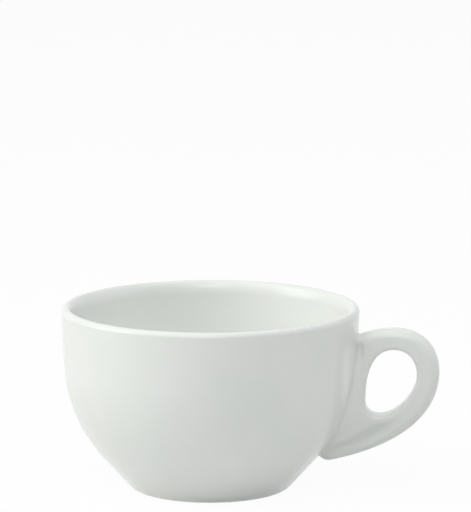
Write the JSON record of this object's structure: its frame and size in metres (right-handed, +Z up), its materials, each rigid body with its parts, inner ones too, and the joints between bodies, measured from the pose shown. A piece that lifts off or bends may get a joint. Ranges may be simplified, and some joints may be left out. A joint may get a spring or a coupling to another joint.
{
  "type": "latte cup",
  "caption": "Thick-walled white porcelain latte cup: round-bellied bowl on a narrow recessed foot, with a luted ring handle for one finger.",
  "frame": {"origin": "middle of the cup's footprint, bowl and handle together, on the plane it stands on; the bowl's axis is 14.1 mm from it towards -X", "axes": "+Z up along the bowl's axis, +X from the bowl towards the handle, +Y away from a viewer who has the handle on the right"},
  "size_m": [0.1332, 0.105, 0.065],
  "materials": {
    "bowl_glaze": "clear gloss glaze on white porcelain, bare on the standing ring",
    "handle_glaze": "clear gloss glaze on white porcelain",
    "slip_glaze": "fired slip under the same clear gloss glaze"
  },
  "bodies": {
    "root": {"cup_body": "bowl_glaze", "handle": "handle_glaze", "handle_slip": "slip_glaze"}
  },
  "joints": []
}
